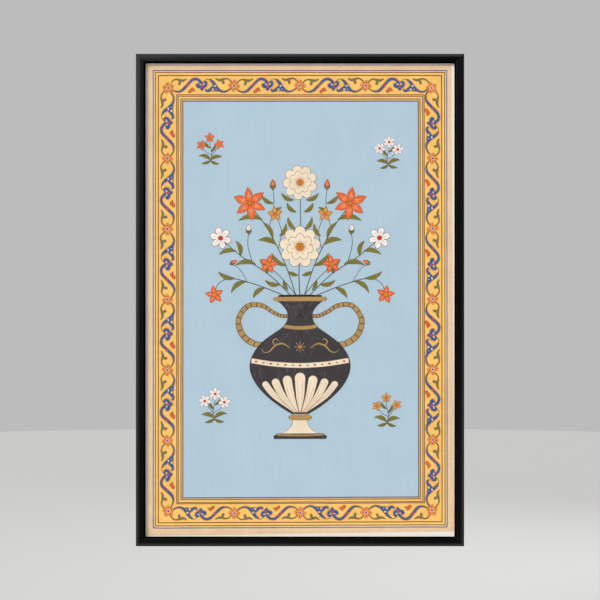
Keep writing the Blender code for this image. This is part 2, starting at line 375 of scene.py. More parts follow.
def mouldRail(name, length, edge, turn):
    m = moulding
    back = railBackY
    sight = edge - m["width"]
    piece = addCube(name, (-length / 2 - m["spare"], back - m["depth"] - m["spare"], sight - m["spare"]),
                    (length / 2 + m["spare"], back, edge))
    startEditing(piece)
    faceRise = m["depth"] - m["chamferDepth"]
    faceRun = m["width"] - m["sightWidth"] - m["chamferWidth"]
    arrisSpot = (0, back - m["chamferDepth"], edge - m["chamferWidth"])
    sliceOff(arrisSpot, (0, -faceRun, faceRise))
    sliceOff(arrisSpot, (0, -m["chamferWidth"], m["chamferDepth"] - m["sideDepth"]))
    sliceOff((0, back - m["sightDepth"], sight), (0, -m["sightWidth"], m["sightDepth"] - m["depth"]))
    sliceOff((0, back, sight), (0, 0, -1))
    for end in (-1, 1):
        sliceOff((end * (length / 2 - m["mitreGap"]), back, edge), (end, 0, -1))
    rounded = [                          # (depth, across, bevel) of the edges to round
        (m["sideDepth"], 0, m["arrisBevel"]),
        (m["chamferDepth"], m["chamferWidth"], m["arrisBevel"]),
        (m["depth"], m["width"] - m["sightWidth"], m["sightBevel"]),
    ]
    for depth, across, bevel in rounded:
        spot = Vector((0, back - depth, edge - across))
        selectEdges(piece, lambda co: (Vector((0, co.y, co.z)) - spot).length < 0.02 * mm)
        bpy.ops.mesh.bevel(offset=bevel, segments=6, affect="EDGES")
    stopEditing()
    rabbet = addCube("rabbetCutter", (-length, back - m["lipBack"], sight - 1 * mm),
                     (length, back + 1 * mm, sight + m["lipWidth"]))
    applyModifier(piece, "BOOLEAN", operation="DIFFERENCE", object=rabbet)
    bpy.data.objects.remove(rabbet)
    applyModifier(piece, "BEVEL", width=m["softEdge"], segments=2, limit_method="ANGLE",
                  angle_limit=math.radians(30), use_clamp_overlap=True)
    piece.rotation_euler = (0, turn, 0)
    choose(piece)
    bpy.ops.object.transform_apply(location=True, rotation=True, scale=True)
    smoothEdges(piece)
    return piece


def buildRails():
    finish = lacquerFinish()
    sides = [
        ("Top", 2 * halfWidth, halfHeight, 0),
        ("Right", 2 * halfHeight, halfWidth, math.pi / 2),
        ("Bottom", 2 * halfWidth, halfHeight, math.pi),
        ("Left", 2 * halfHeight, halfWidth, -math.pi / 2),
    ]
    for side, length, edge, turn in sides:
        rail = mouldRail("rail" + side, length, edge, turn)
        handOver(rail, finish, "rail", "rail_" + side.lower())


buildRails()
print("rails ready")


# the sheets and boards keep the solids' own shapes
sheets = {                               # a pair of colours is a darker and a lighter tone
    "glazing": (240, 246, 245),
    "faceOn": 0.006,                     # the glazing's reflection, looked at straight
    "aslant": 0.9,                       # and how much more of it at a grazing look
    "paper": ((238, 230, 220), (250, 245, 238)),
    "card": ((186, 178, 164), (208, 201, 188)),
    "foam": ((214, 211, 204), (234, 232, 227)),
    "board": ((104, 72, 46), (146, 108, 74)),
    "boardPatch": (124, 92, 64),
    "boardScreen": 1.9 * mm,             # pitch of the wire screen that the board was pressed on
}


def dressSheets():
    glass = Finish("clearGlazing", 0.03, metallic=1)     # only its reflection shows, more so aslant
    glass.feed("Base Color", fromScreen(*sheets["glazing"]))
    aslant = glass.place.node("ShaderNodeLayerWeight", {}, {"Blend": 0.5}, out=1)
    glass.feed("Alpha", aslant.math("POWER", 5) * sheets["aslant"] + sheets["faceOn"])

    paper = Finish("heavyPaper", 0.82, specular=0.2)
    fibre = paper.place.stretched(1, 1, 2.4).noise(1.4 * mm, 4, 0.65)
    cloud = paper.place.noise(60 * mm, 2, 0.5)
    paper.feed("Base Color", (fibre * 0.6 + cloud * 0.4).tones(*sheets["paper"]))
    paper.bump(fibre, 0.1, 0.05 * mm)

    card = Finish("greyCard", 0.85, specular=0.2)
    pulp = card.place.noise(0.9 * mm, 4, 0.7)
    card.feed("Base Color", pulp.tones(*sheets["card"]))
    card.bump(pulp, 0.15, 0.05 * mm)

    foam = Finish("whiteSpacer", 0.75, specular=0.25)
    cells = foam.place.noise(0.5 * mm, 3, 0.6)
    foam.feed("Base Color", cells.tones(*sheets["foam"]))
    foam.bump(cells, 0.1, 0.05 * mm)

    board = Finish("hardboard", 0.62, specular=0.3)
    place = board.place
    fleck = place.noise(1.3 * mm, 5, 0.72)
    patch = place.noise(55 * mm, 3, 0.55)
    pressed = fleck.above(0.5, 0.2).tones(*sheets["board"])
    patched = (patch.above(0.55, 0.25) * 0.35).blend(pressed, fromScreen(*sheets["boardPatch"]))
    board.feed("Base Color", patched)
    weave = 2 * math.pi / sheets["boardScreen"]
    rows = (place.axis(0) * weave).math("SINE") * (place.axis(2) * weave).math("SINE")
    board.feed("Roughness", 0.56 + fleck * 0.14)
    board.bump(rows * 0.5 + fleck * 0.8, 0.35, 0.12 * mm)

    dressed = {"glazing": glass, "print_sheet": paper, "backing_card": card, "backing_board": board,
               "spacer_top": foam, "spacer_bottom": foam, "spacer_left": foam, "spacer_right": foam}
    for node, finish in dressed.items():
        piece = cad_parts[node]
        piece.data.materials.clear()
        piece.data.materials.append(finish.material)


dressSheets()
print("sheets ready")


# the back's small hardware: the solids' shapes with their edges broken
hardware = {
    "pointBevel": 0.12 * mm,
    "hangerBevel": 0.16 * mm,
    "nailBevel": 0.3 * mm,
    "bumperBevel": 0.7 * mm,
    "staple": (7 * mm, 0.7 * mm, 1.2 * mm),   # a corner nail's leg: length, thickness, depth
    "stapleInset": 6.4 * mm,             # its elbow, from the corner on both rails
    "stapleProud": 0.12 * mm,
    "stapleBevel": 0.08 * mm,
    "steel": ((0.42, 0.42, 0.41), (0.62, 0.62, 0.6)),    # dull and bright
    "brass": ((0.55, 0.38, 0.17), (0.83, 0.63, 0.32)),
    "rubber": ((58, 56, 54), (86, 83, 79)),   # as a screen gives it
}


def metalFinish(name, dull, bright, roughness, grain):   # grain is how the scratches are stretched
    finish = Finish(name, roughness, metallic=1)
    place = finish.place
    cloud = place.noise(3.5 * mm, 3, 0.6)
    scratch = place.stretched(*grain).noise(0.5 * mm, 3, 0.6)
    shine = (cloud * 0.7 + scratch * 0.3).above(0.5, 0.22)
    finish.feed("Base Color", shine.blend((*dull, 1), (*bright, 1)))
    finish.feed("Roughness", (roughness - 0.08) + cloud * 0.2)
    finish.bump(scratch, 0.08, 0.03 * mm)
    return finish


def rubberFinish():
    finish = Finish("greyRubber", 0.7, specular=0.35)
    dust = finish.place.noise(1.1 * mm, 4, 0.65)
    finish.feed("Base Color", dust.above(0.52, 0.2).tones(*hardware["rubber"]))
    finish.bump(dust, 0.2, 0.06 * mm)
    return finish


def refined(node, name, finish, slot, bevel, segments):
    piece = bpy.data.objects.new(name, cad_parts[node].data.copy())
    bpy.context.collection.objects.link(piece)
    startEditing(piece)
    bpy.ops.mesh.remove_doubles(threshold=1e-6)
    bpy.ops.mesh.tris_convert_to_quads(face_threshold=0.01, shape_threshold=0.8)
    stopEditing()
    applyModifier(piece, "BEVEL", width=bevel, segments=segments, limit_method="ANGLE",
                  angle_limit=math.radians(40), use_clamp_overlap=True)
    smoothEdges(piece, 40)
    handOver(piece, finish, slot, node)


def plainName(node):                     # rail_top_1 becomes railTop1
    first, *rest = node.replace("-", "_").split("_")
    return first + "".join(word.title() for word in rest)


def cornerNail(name, corner, finish):    # a V-shaped nail's back edge, across the mitre
    long, thick, deep = hardware["staple"]
    inwards = [-math.copysign(1, value) for value in corner]
    elbow = [value + step * hardware["stapleInset"] for value, step in zip(corner, inwards)]
    back = railBackY + hardware["stapleProud"]
    piece = addCube(name, (elbow[0] - thick / 2, back - deep, elbow[2] - thick / 2),
                    (elbow[0] + thick / 2, back, elbow[2] + thick / 2))
    startEditing(piece)
    bpy.ops.mesh.select_mode(type="FACE")
    for axis in (0, 2):                  # a leg along each rail grows out of the elbow
        bpy.ops.mesh.select_all(action="DESELECT")
        cage = bmesh.from_edit_mesh(piece.data)
        for face in cage.faces:
            aside = face.calc_center_median()[2 - axis] - elbow[2 - axis]
            face.select_set(face.normal[axis] * inwards[axis] > 0.9 and abs(aside) < thick / 2)
        bmesh.update_edit_mesh(piece.data)
        reach = [0, 0, 0]
        reach[axis] = inwards[axis] * (long - thick)
        bpy.ops.mesh.extrude_region_move(TRANSFORM_OT_translate={"value": reach})
    stopEditing()
    applyModifier(piece, "BEVEL", width=hardware["stapleBevel"], segments=2, limit_method="ANGLE")
    smoothEdges(piece)
    handOver(piece, finish, "steel")


def buildHardware():
    steel = metalFinish("dullSteel", *hardware["steel"], 0.42, (1, 1, 0.2))
    brass = metalFinish("platedBrass", *hardware["brass"], 0.34, (0.2, 1, 1))
    rubber = rubberFinish()
    kinds = {                            # how a node's name starts: finish, slot, bevel, segments
        "point_": (steel, "steel", hardware["pointBevel"], 2),
        "hanger_nail": (steel, "steel", hardware["nailBevel"], 3),
        "hanger_": (brass, "brass", hardware["hangerBevel"], 2),
        "bumper_": (rubber, "rubber", hardware["bumperBevel"], 4),
    }
    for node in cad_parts:
        for start, (finish, slot, bevel, segments) in kinds.items():
            if node.startswith(start):
                refined(node, plainName(node), finish, slot, bevel, segments)
                break
    for number, (signX, signZ) in enumerate(((-1, 1), (1, 1), (1, -1), (-1, -1))):
        corner = Vector((signX * halfWidth, 0, signZ * halfHeight))
        cornerNail(f"cornerNail{number + 1}", corner, steel)


buildHardware()
print("hardware ready")


# the painting is laid out in millimetres on its sheet, u to the right and v up from its own middle
painting = {
    "middle": (0.1, 1.9),                # from the frame's middle
    "scale": 0.996,
    "size": (560, 860),                  # about, for what leans or spreads over it
    "gap": 0.01,                         # between the sheet and the first coat's back
    "coat": 0.06,                        # how far each coat of paint stands above the last
    "layers": 40,                        # strips of one coat lie in so many layers
    "layer": 0.0012,
    "thinnest": 0.12,                    # half the width of the finest line
    "wander": 0.3,                       # how far the painter's hand strays
    "waver": 34,                         # and over what distance
    "seed": 4,
    "lean": 0.0041,                      # how much the lower rules rise to the right
    "spread": (0.45, 0.5),               # how it widens to its foot: in its middle, and more to the right
    "wash": 24,                          # the grain of a colour's shades, and of the brush's dabs
    "dab": 3.2,
    "streak": 5,                         # these two on the field alone
    "cloud": 70,
    "paler": 1.02,                       # how far its shades lie from each ink's own colour
    "deeper": 0.965,
    "edge": [(-280.9, 430.0), (278.4, 430.0), (283.1, -428.0), (-280.7, -434.1)],
}

# every ink's coat and its colour as a screen gives it
inks = {
    "groundCream": (1, (235, 203, 163)),
    "groundGilt": (1, (251, 203, 110)),
    "groundOchre": (1, (248, 197, 106)),
    "groundStone": (1, (200, 168, 130)),
    "fieldBlue": (1, (179, 202, 216)),
    "ruleBlue": (2, (96, 106, 150)),
    "ruleBrown": (2, (126, 74, 34)),
    "ruleDark": (2, (84, 76, 70)),
    "vineStem": (3, (92, 80, 54)),
    "scrollEdge": (3, (98, 86, 82)),
    "bandShade": (2, (203, 148, 86)),
    "petalEdge": (3, (178, 92, 48)),
    "vineLeaf": (4, (112, 116, 78)),
    "scrollBlue": (4, (42, 88, 164)),
    "petalOrange": (4, (244, 168, 88)),
    "petalRed": (5, (214, 70, 38)),
    "scrollLight": (5, (250, 208, 120)),
    "eyeWhite": (6, (238, 234, 228)),
    "eyeBlue": (7, (34, 66, 160)),
    "stalkGrey": (3, (96, 104, 104)),
    "lineDark": (3, (58, 52, 48)),
    "lineBrown": (3, (118, 88, 66)),
    "lineRust": (3, (150, 60, 34)),
    "leafOlive": (4, (132, 122, 52)),
    "leafVein": (5, (88, 82, 42)),
    "bloomCream": (4, (241, 223, 197)),
    "bloomWhite": (4, (244, 236, 231)),
    "bloomOrange": (4, (228, 106, 54)),
    "bloomAmber": (4, (208, 146, 58)),
    "touchPeach": (5, (248, 180, 136)),
    "touchTan": (5, (204, 172, 136)),
    "touchRed": (5, (196, 58, 36)),
    "potCharcoal": (4, (62, 58, 60)),
    "potHair": (5, (96, 91, 94)),
    "potShade": (5, (40, 38, 41)),
    "handleTan": (4, (178, 142, 86)),
    "handleRing": (5, (86, 64, 42)),
}
coats = {}                               # each ink's strips as they are painted
noise.seed_set(painting["seed"])         # the hand wanders alike on each run


def smoothLine(points, steps):           # a curve through the points, and through their widths
    ends = [points[0], *points, points[-1]]
    line = []
    for before, start, end, after in zip(ends, ends[1:], ends[2:], ends[3:]):
        for step in range(steps):
            t = step / steps
            line.append([0.5 * (2 * b + t * (c - a) + t * t * (2 * a - 5 * b + 4 * c - d)
                                + t ** 3 * (3 * b - a - 3 * c + d))
                         for a, b, c, d in zip(before, start, end, after)])
    return [*line, list(points[-1])]


def brushStrip(points, grow=0, steps=4, square=False):   # the two sides of a brush stroke
    line = smoothLine(points, steps)
    spots = [Vector(point[:2]) for point in line]
    last = len(line) - 1
    sections = []
    for i, (spot, point) in enumerate(zip(spots, line)):
        half = max(point[2] / 2, painting["thinnest"]) + grow
        back, ahead = spot - spots[max(i - 1, 0)], spots[min(i + 1, last)] - spot
        sides = [half, half]
        if back.length and ahead.length:  # the inside of a tight bend doesn't fold over
            bend = 2 * math.atan2(back.cross(ahead), back.dot(ahead)) / (back.length + ahead.length)
            sides[bend < 0] = min(half, 0.8 / max(abs(bend), 0.001))
        sections.append((spot, (back + ahead).normalized(), sides))
    if not square:                       # rounded ends, finer on broad strokes
        for end, sign in ((0, -1), (-1, 1)):
            spot, run, (half, _) = sections[end]
            angles = (18, 36, 54, 70, 84) if half > 3 else (30, 58, 82) if half > 0.6 else (60,)
            for angle in angles:
                rest = half * math.cos(math.radians(angle))
                out = (spot + sign * run * half * math.sin(math.radians(angle)), run, (rest, rest))
                sections.insert(0 if sign < 0 else len(sections), out)
    left = [spot + Vector((-run.y, run.x)) * sides[0] for spot, run, sides in sections]
    right = [spot - Vector((-run.y, run.x)) * sides[1] for spot, run, sides in sections]
    return left, right


def brush(ink, points, edge=None, width=0.5, steps=4, square=False, lift=0):
    motif = [(ink, lift, *brushStrip(points, 0, steps, square), False)]
    if edge:                             # its outline, the same stroke grown by a width
        motif.append((edge, lift, *brushStrip(points, width, steps, square), False))
    return motif


def stamp(motif, place=lambda spot: spot):   # paints a motif where place moves its points
    for ink, lift, left, right, closed in motif:
        strip = (lift, [place(spot) for spot in left], [place(spot) for spot in right], closed)
        coats.setdefault(ink, []).append(strip)


def placing(at=(0, 0), turn=0, size=1, flip=1):   # degrees anticlockwise
    cosine, sine = math.cos(math.radians(turn)), math.sin(math.radians(turn))

    def place(spot):
        x, y = spot[0] * size * flip, spot[1] * size
        return Vector((at[0] + x * cosine - y * sine, at[1] + x * sine + y * cosine))
    return place


def loopPoints(corners, rounds):         # an outline's points, as many on every outline
    counts = (22, 34, 22, 34)
    loop = []
    for i, (count, radius) in enumerate(zip(counts, rounds)):
        before, start, end = (Vector(corners[(i + k) % 4]) for k in (-1, 0, 1))
        if radius:                       # a quarter circle in place of the corner
            back, ahead = (before - start).normalized() * radius, (end - start).normalized() * radius
            for angle in (0, 18, 36, 54, 72, 90):
                sine, cosine = math.sin(math.radians(angle)), math.cos(math.radians(angle))
                loop.append(start + back * (1 - sine) + ahead * (1 - cosine))
        loop += [start.lerp(end, step / count) for step in range(1 if radius else 0, count)]
    return loop


def ring(ink, outer, inner, rounds=(0, 0, 0, 0)):   # a band between two outlines
    stamp([(ink, 0, loopPoints(outer, rounds), loopPoints(inner, rounds), True)])


def strayed(spot):                       # the hand's wander and the painting's lean, in mm
    wide, high = painting["size"]
    down = 0.5 - spot.y / high
    place = Vector((spot.x / painting["waver"], spot.y / painting["waver"], 0.5))
    drift = noise.noise_vector(place) * painting["wander"]
    drift += noise.noise_vector(place * 4.1) * painting["wander"] * 0.35
    lean = painting["lean"] * spot.x * down
    inMiddle, toSide = painting["spread"]
    spread = (inMiddle + toSide * spot.x / (wide / 2)) * (down - 0.5)
    return Vector((spot.x + drift.x + spread, spot.y + drift.y + lean)) * painting["scale"]


def gouacheFinish(ink, colour):
    finish = Finish(ink, 0.8, specular=0.16)
    place = finish.place
    wash = place.noise(painting["wash"] * mm, 3, 0.55)
    dab = place.noise(painting["dab"] * mm, 4, 0.6)
    paler = [min(255, value * painting["paler"] + 2) for value in colour]
    deeper = [value * painting["deeper"] for value in colour]
    blotch = (wash * 0.55 + dab * 0.45).above(0.5, 0.2)
    if ink == "fieldBlue":               # a thin, even wash with the brush's upright streaks
        streaks = place.stretched(1, 1, 0.06).noise(painting["streak"] * mm, 4, 0.6)
        cloud = place.noise(painting["cloud"] * mm, 3, 0.5)
        blotch = (streaks * 0.4 + cloud * 0.35 + dab * 0.25).above(0.5, 0.26) * 0.7
    finish.feed("Base Color", blotch.tones(deeper, paler))
    finish.bump(dab, 0.08, 0.04 * mm)
    return finish


def paintPiece(ink):
    coat, colour = inks[ink]
    corners, faces = [], []
    for number, (lift, left, right, closed) in enumerate(coats[ink]):
        layer = number % painting["layers"] * painting["layer"]
        front = sheetFrontY - (painting["gap"] + (coat + lift) * painting["coat"] + layer) * mm
        first = len(corners)
        for pair in zip(left, right):
            for spot in pair:
                spot = strayed(spot) + Vector(painting["middle"])
                corners.append((spot.x * mm, front, spot.y * mm))
        count = len(left)
        for step in range(count if closed else count - 1):
            a = first + 2 * step
            b = first + 2 * ((step + 1) % count)
            faces.append((a, a + 1, b + 1, b))
    net = bpy.data.meshes.new(ink)
    net.from_pydata(corners, [], faces)
    piece = bpy.data.objects.new(ink, net)
    bpy.context.collection.objects.link(piece)
    startEditing(piece)
    bpy.ops.mesh.extrude_region_move()   # the coat's thickness, back to the sheet
    cage = bmesh.from_edit_mesh(net)
    for corner in cage.verts:
        if corner.select:
            corner.co.y = sheetFrontY - painting["gap"] * mm
    bmesh.update_edit_mesh(net)
    bpy.ops.mesh.select_all(action="SELECT")
    bpy.ops.mesh.normals_make_consistent(inside=False)
    stopEditing()
    handOver(piece, gouacheFinish(ink, colour), "print")


# how far the ruled lines lie from the middle: left, top, right, bottom
ruled = {
    "blueLine": (269.6, 419.6, 269.8, 419.8),
    "outerA": (265.5, 416.0, 266.0, 415.7),
    "outerB": (260.4, 410.5, 260.5, 410.2),
    "innerA": (226.7, 375.1, 228.4, 375.4),
    "innerB": (223.3, 371.9, 225.1, 372.8),
    "innerC": (219.0, 367.4, 221.1, 368.2),
    "darkLine": (215.1, 363.1, 217.4, 364.4),
}


def ruledCorners(line, out=0):           # the line's corners, moved out a little
    left, top, right, bottom = (far + out for far in ruled[line])
    return [(-left, top), (right, top), (right, -bottom), (-left, -bottom)]


def paintGrounds():
    steps = [
        ("groundCream", painting["edge"], "outerA"),
        ("groundGilt", "outerA", "outerB"),
        ("groundOchre", "outerB", "innerA"),
        ("groundStone", "innerA", "innerB"),
        ("groundGilt", "innerB", "innerC"),
        ("groundStone", "innerC", "darkLine"),
    ]
    for ink, outer, inner in steps:
        ring(ink, outer if ink == "groundCream" else ruledCorners(outer), ruledCorners(inner))
    left, top, right, bottom = ruled["darkLine"]
    rows = [top - (top + bottom) * step / 40 for step in range(41)]
    sides = [[Vector((u, v)) for v in rows] for u in (-left, right)]
    stamp([("fieldBlue", 0, *sides, False)])
    rules = [                            # line, ink, width and how round its corners are
        ("blueLine", "ruleBlue", 1.9, (1.6, 1.2, 3.6, 4.4)),
        ("outerA", "ruleBrown", 1.6, (0, 0, 1.6, 2.2)),
        ("outerB", "ruleBrown", 1.8, (0, 0, 0, 1.4)),
        ("innerA", "ruleBrown", 1.4, (0, 0, 0, 0)),
        ("innerB", "ruleBrown", 1.3, (0, 0, 0, 0)),
        ("innerC", "ruleBrown", 1.4, (0, 0, 0, 0)),
        ("darkLine", "ruleDark", 1.5, (0, 0, 0, 0)),
    ]
    for line, ink, width, rounds in rules:
        ring(ink, ruledCorners(line, width / 2), ruledCorners(line, -width / 2), rounds)


# one run of the border's scroll, from a rosette to the next one 120.7 mm on, v outwards
scroll = {
    "pitch": 120.7,
    "corners": ((-242, 387.5), (242, 387.5), (242, -389), (-242, -389)),
    # these three each for the top, the right, the bottom and the left
    "runs": (4, 6, 4, 6),
    "middles": (393.9, 244.9, 394.3, 244.8),   # the band's middle line
    "rosetteLines": (391.7, 243.5, 393.0, 243.5),
    "petalLong": 9.4,
    "petalWide": 6.7,
    "seed": 5,
    "skew": 0.012,                       # the most that a run leans, either way
    "bulge": (0.93, 1.01),               # the least and the most that it is stretched outwards
    "slip": 0.5,
    "rosetteTurn": 9,
    "rosetteSize": (0.95, 1.04),
}


def scrollMotif():
    stem = {"edge": "vineStem", "width": 0.15, "shade": 1.3}
    leaf = {"edge": "vineStem", "width": 0.4, "shade": 1.5}
    blue = {"edge": "scrollEdge", "width": 0.8, "shade": 2.1}
    berry = {"edge": "petalEdge", "width": 0.8, "steps": 3, "shade": 1.5}
    shine = {"steps": 2, "lift": 2}
    dab = {"steps": 2}
    touch = {"steps": 3}
    line = {}
    strokes = [                          # ink, manner and its points: u, v and width
        # the two outer stems and their leaves
        ("vineStem", stem, [(5.2, 3.4, .8), (7.9, 7, 1), (11.8, 9.3, 1.1), (16.4, 9.7, 1.2), (19, 9, 1)]),
        ("vineLeaf", leaf, [(15.4, 9.4, .8), (20.6, 8, 3), (25.4, 7.3, 3), (29, 8.3, 1.8), (32.4, 10, .3)]),
        ("vineLeaf", leaf, [(21.8, 7.6, 2.8), (20.8, 4.4, 2.4), (20, 1.4, 3.4)]),
        ("vineStem", stem, [(116.6, 2.8, .8), (112.9, 7.3, 1), (107.6, 10.7, 1.1), (102.4, 10.9, 1.2)]),
        ("vineLeaf", leaf, [(105, 10.8, .9), (98, 9.1, 2.9), (93.4, 8, 2.8), (90, 9, 1.8), (87, 10.6, .3)]),
        ("vineLeaf", leaf, [(97.8, 8.6, 2.6), (99.8, 5.6, 2.4), (100.6, 3, 3.2)]),
        # the long wave with its bud
        ("scrollEdge", stem, [(4.6, -7.4, .8), (8.5, -10.7, 1.2), (13, -12.7, 1.6), (18, -13.4, 2)]),
        ("scrollBlue", blue, [(14.4, -13.2, .3), (18.6, -13.3, 1.2), (23, -12, 2.1), (27, -9.2, 2.7),
                              (30.6, -5.2, 2.9), (34.8, -.6, 2.9), (38.9, 4.3, 2.8), (43.4, 8.5, 2.8),
                              (48.6, 10.4, 2.7), (53.2, 9.6, 2.5), (56.6, 7.2, 2.6), (59.2, 4, 3.2),
                              (60.6, 2.4, 2.6)]),
        ("petalRed", touch, [(33.4, -2.2, 1.5), (34.9, -.5, 2.2), (36.4, 1.2, 1.5)]),
        ("petalRed", touch, [(38.4, 3.5, .6), (39.2, 4.5, 1.3)]),
        # two berries under it
        ("petalRed", berry, [(39.2, -13, 3.6), (40.6, -11.9, 4.2)]),
        ("petalRed", berry, [(42.8, -9.8, 4.2), (44, -8.6, 3.9)]),
        ("petalOrange", shine, [(39.9, -12.3, 1.2), (40.8, -11.8, 1.5)]),
        ("petalOrange", shine, [(43.2, -9.3, 1.2), (43.8, -8.7, 1.4)]),
        ("vineStem", stem, [(45.4, -10, .9), (46.8, -10.8, 1.2), (48.4, -10.8, .6)]),
        # the palmette: two side lobes, a foot, a heart and its small calyx
        ("scrollBlue", blue, [(61, -4.6, 3.6), (57.4, -4.1, 3.8), (54.6, -2.9, 4.7), (53.4, -1, 4.2)]),
        ("scrollBlue", touch, [(54.4, 1, 2), (56.6, 1.8, 1.4)]),
        ("scrollBlue", blue, [(62.2, -4.4, 3.6), (65.5, -3.5, 3.6), (68.2, -1, 3.2), (69.2, 2, 2.5),
                              (68.4, 4.4, 1.9), (66.4, 4.9, 1.7), (65, 3.6, 1.6)]),
        ("scrollBlue", blue, [(61.6, -4, 5.6), (61.6, -6.4, 5.2), (61.7, -8.6, 3.4)]),
        ("scrollBlue", touch, [(61.8, -1.6, 2), (62, .4, 1.4), (62.2, 1.6, .5)]),
        ("petalRed", dab, [(61.7, -2.5, 2.8), (61.7, -4.1, 3.3)]),
        ("scrollLight", touch, [(57.2, -.5, 1.2), (58.7, .2, 1.9), (60, -.4, 1.2)]),
        ("scrollLight", touch, [(63.7, -.6, 1.2), (65, .3, 1.8), (66.2, 1.5, 1.4)]),
        # a bare lobe between the palmette and the comb leaf
        ("bandShade", line, [(74.6, 7, .5), (74.9, 1.8, .7), (72.6, -3, .8), (69.2, -6.8, .8),
                             (67.8, -9.2, .4)]),
        ("bandShade", line, [(76.6, 6.6, .4), (79.2, 2, .8), (78.8, -2.6, .8), (75.6, -7.2, .5)]),
        # the comb leaf
        ("scrollEdge", line, [(66, 7.6, .7), (68.4, 9.2, 1.1), (72.2, 10.2, 1.3), (76.4, 8.8, 1.8)]),
        ("scrollBlue", blue, [(76.4, 8.6, 1), (79.8, 6, 2.2), (82.5, 2.8, 3.2), (84.8, -.6, 3.6),
                              (87.4, -4.4, 3.6), (91, -8.4, 3), (94.6, -11.3, 2.2), (98.7, -13, 1.5),
                              (103, -13.5, .9), (108.6, -11.7, .6), (114.4, -7.6, .3)]),
        ("scrollBlue", blue, [(84.4, -3.4, 3.2), (80.6, -6.2, 3.3), (77.1, -9.2, 3.2), (73.8, -11.7, 2.5),
                              (70.8, -11.9, 1.9), (68.9, -9.9, 1)]),
        ("scrollBlue", blue, [(84.8, -4.6, 3.2), (85.7, -8, 3), (86.3, -10.8, 1.7)]),
        ("scrollEdge", line, [(76.6, -12.6, .6), (79.4, -11.8, 1.2), (82.2, -12.7, 1.1), (84, -11.4, .8)]),
        ("scrollEdge", line, [(87.6, -10.8, .8), (89.4, -12.6, 1.1), (91.6, -11.6, .9), (94, -12.8, .5)]),
        ("scrollLight", dab, [(84.8, -3.2, 2.6), (86.3, -2.4, 2.8)]),
        ("scrollLight", dab, [(80.9, -8.8, 2.2), (82.2, -8.5, 2.4)]),
        ("scrollBlue", blue, [(88.2, -7.2, 2.4), (89.4, -9.6, 2.2), (90, -11.2, 1.2)]),
        ("scrollLight", dab, [(87.6, -8.4, 1.2), (88, -9.6, 1)]),
    ]
    motif = []
    for ink, manner, points in strokes:
        shade = manner.get("shade", 0)
        motif += brush(ink, points, **{key: value for key, value in manner.items() if key != "shade"})
        if shade:                        # a soft brown edge beside each line
            motif.append(("bandShade", 0, *brushStrip(points, shade, 3), False))
    return motif


def rosetteMotif(petals):
    motif = []
    long, wide = scroll["petalLong"], scroll["petalWide"]
    for number in range(petals):
        turn = placing(turn=90 + 360 * number / petals)
        reaches = (1.6, long * 0.4, long * 0.66, long * 0.76)
        widths = (1.6, wide * 0.78, wide * 0.92, wide * 0.7)
        strokes = [(*turn((reach, 0)), width) for reach, width in zip(reaches, widths)]
        motif += brush("petalOrange", strokes, edge="petalEdge", width=.8, steps=3)
        motif.append(("bandShade", 0, *brushStrip(strokes, 1.5, 3), False))
        spot = [turn((long * share, 0)) for share in (0.5, 0.68)]
        motif += brush("petalRed", [(*spot[0], 1.8), (*spot[1], 3.2)], steps=2)
    motif += brush("eyeWhite", [(-.3, 0, 4.6), (.3, 0, 4.6)], steps=2)
    motif += brush("eyeBlue", [(-.2, 0, 3.7), (.2, 0, 3.7)], steps=2)
    return motif


def paintBorder():
    unit = scrollMotif()
    hand = random.Random(scroll["seed"])   # no two runs are quite alike
    corners = [Vector(spot) for spot in scroll["corners"]]
    for side, runs in enumerate(scroll["runs"]):
        start, end = corners[side], corners[(side + 1) % 4]
        along = (end - start).normalized()
        outwards = Vector((-along.y, along.x))
        middle = scroll["middles"][side]
        reach = (end - start).length / runs
        stretch = reach / scroll["pitch"]
        for run in range(runs):
            low = start + along * reach * run
            low += outwards * (middle - low.dot(outwards))
            skew = hand.uniform(-scroll["skew"], scroll["skew"])
            bulge = hand.uniform(*scroll["bulge"])
            slip = hand.uniform(-scroll["slip"], scroll["slip"])
            stamp(unit, lambda spot: low + along * (spot[0] * stretch + skew * spot[1] * 8 + slip)
                  + outwards * (spot[1] * bulge + skew * (spot[0] - 60)))
            if run:
                spot = low + outwards * (scroll["rosetteLines"][side] - middle)
                turn = -90 * side + hand.uniform(-scroll["rosetteTurn"], scroll["rosetteTurn"])
                stamp(rosetteMotif(4), placing(spot, turn, hand.uniform(*scroll["rosetteSize"])))
        stamp(rosetteMotif(5), placing(start, hand.uniform(0, 30)))


# a bloom's colours: its petals, their outline and the touches on them
bloomInks = {
    "cream": ("bloomCream", "lineBrown", "touchTan"),
    "white": ("bloomWhite", "lineBrown", "touchTan"),
    "amber": ("bloomAmber", "lineBrown", "touchPeach"),
    "orange": ("bloomOrange", "lineRust", "touchPeach"),
}


def leafMotif(base, tip, wide, bend, lift=1):
    base, tip = Vector(base), Vector(tip)
    run = tip - base
    side = Vector((-run.y, run.x)) * bend
    spots = [base + run * t + side * 4 * t * (1 - t) for t in (0, 0.22, 0.5, 0.8, 1)]
    widths = (0.8, wide * 0.72, wide, wide * 0.55, 0.2)
    motif = brush("leafOlive", [(*spot, width) for spot, width in zip(spots, widths)],
                  edge="lineDark", width=0.55, steps=3, lift=lift)
    vein = [(*spot, width) for spot, width in zip(spots[:4], (0.5, 0.9, 0.8, 0.3))]
    return motif + brush("leafVein", vein, steps=2, lift=lift)


